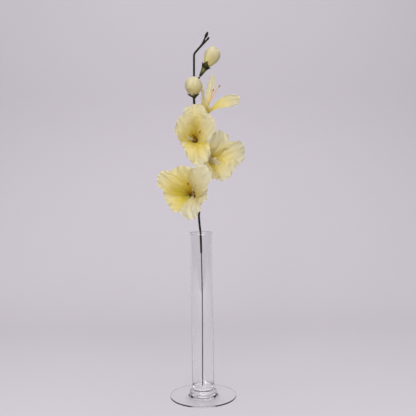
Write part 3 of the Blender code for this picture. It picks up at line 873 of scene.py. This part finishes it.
def moulded_green(look):
    """Moulded green plastic, made once. It is paler towards the tip of a sepal, with fine ribs."""
    found = bpy.data.materials.get("moulded_green")
    if found:
        return found
    green, olive = look.green[:], look.olive[:]
    made, tree, shader = new_material("moulded_green")
    place, side, part, _ = blade_place(tree)
    mottle = add_mottle(tree, 160.0, 4.0, 0.7)
    veins = place_group(tree, veins_group(), Place=place, Count=6.0, Sharpness=2.0)
    dyed = add_ramp(tree, part, [(0.1, green), (0.6, olive)])
    edge = add_math(tree, "POWER", add_math(tree, "ABSOLUTE", side, 0.0), 3.0)
    dyed = add_mix(tree, edge, dyed, green)
    feed(tree, shader.inputs["Base Color"], add_mix(tree, mottle, blended(green, olive, 0.1), dyed))
    add_roughness(tree, shader, mottle, 0.6, 0.8)
    set_inputs(shader, {"Specular IOR Level": 0.2})
    add_bump(tree, shader, add_math(tree, "ADD", mottle, veins), 0.00015, 0.7)
    return made


def wire_steel(colour):
    """Dull grey wire with uneven shine."""
    made, tree, shader = new_material("wire_steel")
    mottle = add_mottle(tree, 500.0, 3.0, 0.8)
    feed(tree, shader.inputs["Base Color"], add_mix(tree, mottle, scaled(colour, 0.5), colour))
    set_inputs(shader, {"Metallic": 0.6})
    add_roughness(tree, shader, mottle, 0.35, 0.6)
    add_bump(tree, shader, mottle, 0.00004)
    return made


def stamen_plastic(look):
    """Orange filaments that end in darker, grainy anthers, whose points have a warmth of 1."""
    made, tree, shader = new_material("stamen_plastic")
    warmth = blade_place(tree)[3]
    grain = add_mottle(tree, 900.0, 3.0, 0.9)
    dyed = add_mix(tree, warmth, look.filament[:], look.anther[:])
    grainy = add_mix(tree, grain, dyed, scaled(look.anther[:], 0.7))
    feed(tree, shader.inputs["Base Color"], add_mix(tree, warmth, dyed, grainy))
    set_inputs(shader, {"Roughness": 0.7, "Specular IOR Level": 0.2})
    add_bump(tree, shader, grain, 0.0002, 0.8)
    return made


def clear_glass(tint):
    """Clear glass. Shadow and diffuse rays pass straight through, so that its shadow stays pale."""
    made, tree, shader = new_material("clear_glass")
    set_inputs(shader, {
        "Base Color": (*tint, 1.0), "Roughness": 0.0, "IOR": 1.5, "Transmission Weight": 1.0,
    })
    clear = tree.nodes.new("ShaderNodeBsdfTransparent")
    set_inputs(clear, {"Color": (0.985, 0.985, 0.985, 1.0)})
    path = tree.nodes.new("ShaderNodeLightPath")
    soft = add_math(tree, "MAXIMUM", path.outputs["Is Shadow Ray"], path.outputs["Is Diffuse Ray"])
    mix_surfaces(tree, soft, shader, clear)
    return made


def stage_paint(colour):
    """Matt paint with a trace of unevenness."""
    made, tree, shader = new_material("stage_paint")
    mottle = add_mottle(tree, 2.0, 2.0, 0.3)
    feed(tree, shader.inputs["Base Color"], add_mix(tree, mottle, scaled(colour, 0.985), colour))
    set_inputs(shader, {"Roughness": 0.9, "Specular IOR Level": 0.1})
    return made


# Operators

def stem_point(height):
    """The middle of the stem at a height."""
    for low, high in zip(STEM_ROUTE, STEM_ROUTE[1:]):
        if low[2] <= height <= high[2]:
            part = (height - low[2]) / (high[2] - low[2])
            return Vector(low).lerp(Vector(high), part)
    raise ValueError(f"the stem has no point at {height}")


def shoot_points(bloom, steps=20):
    """A side shoot that leaves the stem upwards and ends on the calyx's axis, just short of its foot."""
    start = stem_point(bloom.shoot)
    forward = Vector(bloom.axis).normalized()
    end = Vector(bloom.base) - forward * (bloom.calyx_foot + GAP)
    seat = end - forward * SHOOT_RADIUS
    reach = (seat - start).length
    handles = [start, start + Vector((0.0, 0.0, 0.4 * reach)), seat - forward * 0.4 * reach, seat]
    points = []
    for step in range(steps + 1):
        part = step / steps
        points.append(
            handles[0] * (1.0 - part) ** 3 + handles[1] * 3.0 * part * (1.0 - part) ** 2
            + handles[2] * 3.0 * part ** 2 * (1.0 - part) + handles[3] * part ** 3
        )
    return points


class GLADIOLUS_OT_vase(bpy.types.Operator):
    """Make the clear glass vase"""

    bl_idname = "gladiolus.make_vase"
    bl_label = "Vase"

    def execute(self, context):
        look = context.scene.gladiolus_vase
        profile = [
            (0.0, 0.0),
            (FOOT_RADIUS - FOOT_ROUND, 0.0),
            (FOOT_RADIUS, 0.1),
            (FOOT_RADIUS, FOOT_EDGE),
            (FOOT_RADIUS - FOOT_ROUND, FOOT_EDGE),
            (44.0, 2.9),
            (33.0, 3.2),
            (FOOT_CROWN_RADIUS, FOOT_CROWN_HEIGHT - 1.4),
            (KNOP_RADIUS - 1.6, KNOP_HEIGHT - 2.2),
            (KNOP_RADIUS - 1.0, KNOP_HEIGHT),
            (KNOP_RADIUS - 0.6, KNOP_HEIGHT + 1.6),
            (KNOP_RADIUS - 1.2, KNOP_HEIGHT + 3.4),
            (KNOP_RADIUS - 2.8, KNOP_HEIGHT + 4.8),
            (TUBE_RADIUS + 0.8, TUBE_FOOT_HEIGHT),
            (TUBE_RADIUS, TUBE_FOOT_HEIGHT + 2.0),
            (TUBE_RADIUS, VASE_HEIGHT - 5.0),
            (RIM_RADIUS, VASE_HEIGHT - 3.2),
            (RIM_RADIUS, VASE_HEIGHT - 1.0),
            (19.4, VASE_HEIGHT),
            (RIM_BORE_RADIUS + 0.4, VASE_HEIGHT - 0.4),
            (RIM_BORE_RADIUS, VASE_HEIGHT - 1.8),
            (RIM_BORE_RADIUS, VASE_HEIGHT - 3.2),
            (BORE_RADIUS, VASE_HEIGHT - 5.0),
            (BORE_RADIUS, BORE_FLOOR + BORE_CORNER),
        ]
        for step in (1, 2, 3):
            turn = math.radians(30.0 * step)
            profile.append((
                BORE_RADIUS - BORE_CORNER * (1.0 - math.cos(turn)),
                BORE_FLOOR + BORE_CORNER * (1.0 - math.sin(turn)),
            ))
        profile.append((0.0, BORE_FLOOR))
        mesh = new_mesh()
        add_turned(mesh, filleted(profile, look.fillet / MM), sides=look.sides)
        finished_piece("glass_vase", mesh, clear_glass(look.tint[:]), ["vase"], 180.0)
        return {"FINISHED"}


class GLADIOLUS_OT_wire(bpy.types.Operator):
    """Make the bare wire that stands on the floor of the vase"""

    bl_idname = "gladiolus.make_wire"
    bl_label = "Wire"

    def execute(self, context):
        look = context.scene.gladiolus_stem
        points = curve_points(WIRE_ROUTE, 8)
        direction = (Vector(STEM_ROUTE[1]) - Vector(STEM_ROUTE[0])).normalized()
        points.append(points[-1] + direction * (SOCKET_DEPTH - GAP))
        mesh = new_mesh()
        add_bar(mesh, points, [look.wire_radius / MM] * len(points), 16)
        finished_piece("bare_wire", mesh, wire_steel(look.wire[:]), ["wire"])
        return {"FINISHED"}


class GLADIOLUS_OT_stem(bpy.types.Operator):
    """Make the moulded stem with its side shoots, fork and tip buds"""

    bl_idname = "gladiolus.make_stem"
    bl_label = "Stem"

    def execute(self, context):
        look = context.scene.gladiolus_stem
        mesh = new_mesh()
        points = curve_points(STEM_ROUTE, 12)
        starts = [bloom.shoot for bloom in BLOOMS + BUDS]
        radii = []
        for index, point in enumerate(points):
            part = index / (len(points) - 1)
            radius = SHEATH_RADIUS + (SHEATH_TIP_RADIUS - SHEATH_RADIUS) * part
            swelling = sum(math.exp(-((point.z - start - 3.0) / 4.0) ** 2) for start in starts)
            radii.append(radius + 0.4 * swelling + 0.08 * noise.noise(Vector((0.0, 0.0, point.z / 6.0))))
        add_bar(mesh, points, radii, 24, 6, look.ridge)
        for bloom in BLOOMS + BUDS:
            points = shoot_points(bloom)
            flares = [max(0.0, 1.0 - index / SHOOT_FLARE_STEPS) for index in range(len(points))]
            radii = [SHOOT_RADIUS + SHOOT_FLARE * flare for flare in flares]
            add_bar(mesh, points, radii, 20, 5, look.ridge)
        for route in (FORK_LEFT, FORK_RIGHT):
            points = curve_points(route, 10)
            last = len(points) - 1
            change = SHOOT_RADIUS - SHEATH_TIP_RADIUS
            radii = [SHEATH_TIP_RADIUS + change * index / last for index in range(last + 1)]
            add_bar(mesh, points, radii, 20, 5, look.ridge)
        for base, axis, length, radius in (TIP_BUD_LEFT, TIP_BUD_RIGHT):
            profile = filleted([(radius * across, length * up) for across, up in TIP_BUD_SHAPE], 2.0)
            add_turned(mesh, profile, base, axis, 24)
        finished_piece("moulded_stem", mesh, moulded_green(look), ["stem"])
        return {"FINISHED"}


class GLADIOLUS_OT_calyces(bpy.types.Operator):
    """Make the green cups of sepals under the blooms and buds"""

    bl_idname = "gladiolus.make_calyces"
    bl_label = "Calyces"

    def execute(self, context):
        look = context.scene.gladiolus_stem
        top = -ROOT_DROP - GAP
        for bloom in BLOOMS + BUDS:
            foot = -bloom.calyx_foot
            cup = [(0.0, foot), (1.9, foot), (3.7, 0.5 * foot), (5.2, top), (0.0, top)]
            forward = Vector(bloom.axis).normalized()
            mesh = new_mesh()
            add_turned(mesh, filleted(cup, 0.8), bloom.base, bloom.axis, 48)
            place = mesh.verts.layers.float_vector["place"]
            for vert in mesh.verts:
                height = (vert.co / MM - Vector(bloom.base)).dot(forward)
                vert[place] = (0.0, CUP_RIM_PLACE * (1.0 + height / bloom.calyx_foot), 0.0)
            widened = SEPAL_SINK * math.sin(math.radians(bloom.sepal.root_spread))
            root = Vector(bloom.base) - forward * SEPAL_SINK
            for index in range(SEPALS):
                sepal = replace(
                    bloom.sepal, turn=bloom.sepal.turn + 360.0 / SEPALS * index,
                    lift=bloom.sepal.lift + SEPAL_LIFT - widened,
                    phase=1.7 * index + bloom.seed,
                )
                add_petal(mesh, sepal, root, bloom.axis, bloom.seed, 32, 20, 0.7, 0.25)
            finished_piece(
                f"calyx_cup_{bloom.number}", mesh, moulded_green(look), [f"calyx_{bloom.number}"],
            )
        return {"FINISHED"}


def bud_core(petal):
    """The profile of a closed bud's heart, a little inside its petals."""
    profile = [(0.0, -ROOT_DROP), (2.6, -ROOT_DROP)]
    for step in range(1, 9):
        radius, height, angle = along_spine(spine_of(petal), step / 9.0)
        inside = CORE_INSET * smooth_step(0.0, 0.3, step / 9.0)
        profile.append((radius - inside * math.cos(angle), height + inside * math.sin(angle)))
    return profile + [(0.0, profile[-1][1] + 0.5)]


class GLADIOLUS_OT_petals(bpy.types.Operator):
    """Make the cloth petals of the open blooms and the closed buds"""

    bl_idname = "gladiolus.make_petals"
    bl_label = "Petals"

    def execute(self, context):
        look = context.scene.gladiolus_petals
        cloth = petal_cloth(look)
        for bloom in BLOOMS + BUDS:
            mesh = new_mesh()
            if bloom.stamens:
                profile = ROOT_PROFILE
                share = 1.0
                heart_place = 0.0
            else:
                profile = bud_core(bloom.petals[0])
                share = BUD_SHARE
                heart_place = BUD_HEART_PLACE
            add_turned(mesh, filleted(profile, 1.5), bloom.base, bloom.axis, 40, (0.0, heart_place, 0.0))
            for index, petal in enumerate(bloom.petals):
                petal = replace(petal, phase=1.3 * index + bloom.seed)
                add_petal(
                    mesh, petal, bloom.base, bloom.axis, bloom.seed, look.rows, look.columns,
                    look.thickness / MM, share * look.crinkle / MM, share * look.frill / MM,
                )
            finished_piece(f"cloth_petals_{bloom.number}", mesh, cloth, [f"petals_{bloom.number}"])
        return {"FINISHED"}


class GLADIOLUS_OT_stamens(bpy.types.Operator):
    """Make the stamens in the throats of the open blooms"""

    bl_idname = "gladiolus.make_stamens"
    bl_label = "Stamens"

    def execute(self, context):
        finish = stamen_plastic(context.scene.gladiolus_stamens)
        low = ROOT_HEIGHT + GAP
        steps = 12
        for bloom in BLOOMS:
            up, right, forward = clock_frame(bloom.axis)
            base = Vector(bloom.base)
            mesh = new_mesh()
            disc = [(0.0, low), (DISC_RADIUS, low), (DISC_RADIUS - 0.4, low + 2.0), (0.0, low + 2.4)]
            add_turned(mesh, filleted(disc, 0.5), bloom.base, bloom.axis, 24)
            for stamen in bloom.stamens:
                turn = math.radians(stamen.turn)
                outward = up * math.cos(turn) + right * math.sin(turn)
                points = [base + forward * (low + 0.8) + outward * 0.75]
                for step in range(steps):
                    angle = math.radians(stamen.lean + stamen.bend * step / (steps - 1))
                    way = forward * math.cos(angle) + outward * math.sin(angle)
                    points.append(points[-1] + way * stamen.length / steps)
                radii = [0.65 - 0.15 * index / steps for index in range(steps + 1)]
                add_bar(mesh, points, radii, 12)
                spindle = [(ANTHER_RADIUS * across, stamen.anther * along) for across, along in ANTHER_SHAPE]
                foot = points[-1] - way * stamen.anther * 0.4
                add_turned(mesh, filleted(spindle, 1.0), foot, way, 20, (0.0, 0.0, 1.0))
            finished_piece(
                f"stamen_tuft_{bloom.number}", mesh, finish, [f"stamens_{bloom.number}"],
            )
        return {"FINISHED"}


def add_light(name, place, target, size, power):
    light = bpy.data.lights.new(name, "AREA")
    light.shape = "SQUARE"
    light.size = size
    light.energy = power
    way = Vector(target) - Vector(place)
    obj = linked_object(name, light)
    obj.matrix_world = Matrix.LocRotScale(Vector(place), way.to_track_quat("-Z", "Y"), None)


class GLADIOLUS_OT_stage(bpy.types.Operator):
    """Make the pale floor that curves up into a backdrop, the lights and the camera"""

    bl_idname = "gladiolus.make_stage"
    bl_label = "Stage"

    def execute(self, context):
        look = context.scene.gladiolus_stage
        mesh = bmesh.new()
        profile = [(-look.front_edge, FLOOR_LEVEL), (FLOOR_BACK, FLOOR_LEVEL)]
        for step in range(1, BEND_STEPS + 1):
            turn = math.radians(90.0 * step / BEND_STEPS)
            profile.append((
                FLOOR_BACK + FLOOR_BEND * math.sin(turn),
                FLOOR_LEVEL + FLOOR_BEND * (1.0 - math.cos(turn)),
            ))
        profile.append((FLOOR_BACK + FLOOR_BEND, WALL_TOP))
        verts = [mesh.verts.new((-FLOOR_HALF_WIDTH, y, z)) for y, z in profile]
        edges = [mesh.edges.new(pair) for pair in zip(verts, verts[1:])]
        wide = bmesh.ops.extrude_edge_only(mesh, edges=edges)["geom"]
        moved = [item for item in wide if isinstance(item, bmesh.types.BMVert)]
        bmesh.ops.translate(mesh, vec=(2.0 * FLOOR_HALF_WIDTH, 0.0, 0.0), verts=moved)
        mesh_object("backdrop", mesh, stage_paint(look.floor[:]))

        for name, (place, target, size) in LIGHTS.items():
            add_light(name, place, target, size, getattr(look, name))

        world = bpy.data.worlds.new("room")
        world.use_nodes = True
        world.node_tree.nodes["Background"].inputs["Color"].default_value = ROOM_LIGHT
        context.scene.world = world
        context.scene.view_settings.view_transform = "Standard"

        camera = bpy.data.cameras.new("camera")
        camera.sensor_width = SENSOR_MM
        camera.lens = FOCAL_PIXELS / IMAGE_SIDE * SENSOR_MM
        eye = linked_object("camera", camera)
        upright = Matrix.Rotation(math.radians(90.0), 4, "X")
        roll = Matrix.Rotation(math.radians(CAMERA_ROLL), 4, "Z")
        eye.matrix_world = Matrix.Translation(CAMERA_PLACE) @ upright @ roll
        context.scene.camera = eye
        return {"FINISHED"}


OPERATORS = (
    GLADIOLUS_OT_vase,
    GLADIOLUS_OT_wire,
    GLADIOLUS_OT_stem,
    GLADIOLUS_OT_calyces,
    GLADIOLUS_OT_petals,
    GLADIOLUS_OT_stamens,
    GLADIOLUS_OT_stage,
)
SETTINGS = {
    "gladiolus_vase": GLADIOLUS_PG_vase,
    "gladiolus_stem": GLADIOLUS_PG_stem,
    "gladiolus_petals": GLADIOLUS_PG_petals,
    "gladiolus_stamens": GLADIOLUS_PG_stamens,
    "gladiolus_stage": GLADIOLUS_PG_stage,
}


class GLADIOLUS_PT_panel(bpy.types.Panel):
    """Lists the pieces with their settings"""

    bl_label = "Gladiolus"
    bl_idname = "GLADIOLUS_PT_panel"
    bl_space_type = "VIEW_3D"
    bl_region_type = "UI"
    bl_category = "Gladiolus"

    def draw(self, context):
        for operator in OPERATORS:
            self.layout.operator(operator.bl_idname)
        for name, group in SETTINGS.items():
            box = self.layout.box()
            settings = getattr(context.scene, name)
            for label in group.__annotations__:
                box.prop(settings, label)


def register():
    for name, group in SETTINGS.items():
        bpy.utils.register_class(group)
        setattr(bpy.types.Scene, name, PointerProperty(type=group))
    for operator in OPERATORS:
        bpy.utils.register_class(operator)
    bpy.utils.register_class(GLADIOLUS_PT_panel)


def unregister():
    bpy.utils.unregister_class(GLADIOLUS_PT_panel)
    for operator in reversed(OPERATORS):
        bpy.utils.unregister_class(operator)
    for name, group in SETTINGS.items():
        delattr(bpy.types.Scene, name)
        bpy.utils.unregister_class(group)


def main():
    register()
    bpy.ops.gladiolus.make_vase()
    bpy.ops.gladiolus.make_wire()
    bpy.ops.gladiolus.make_stem()
    bpy.ops.gladiolus.make_calyces()
    bpy.ops.gladiolus.make_petals()
    bpy.ops.gladiolus.make_stamens()
    bpy.ops.gladiolus.make_stage()


if __name__ == "__main__":
    main()
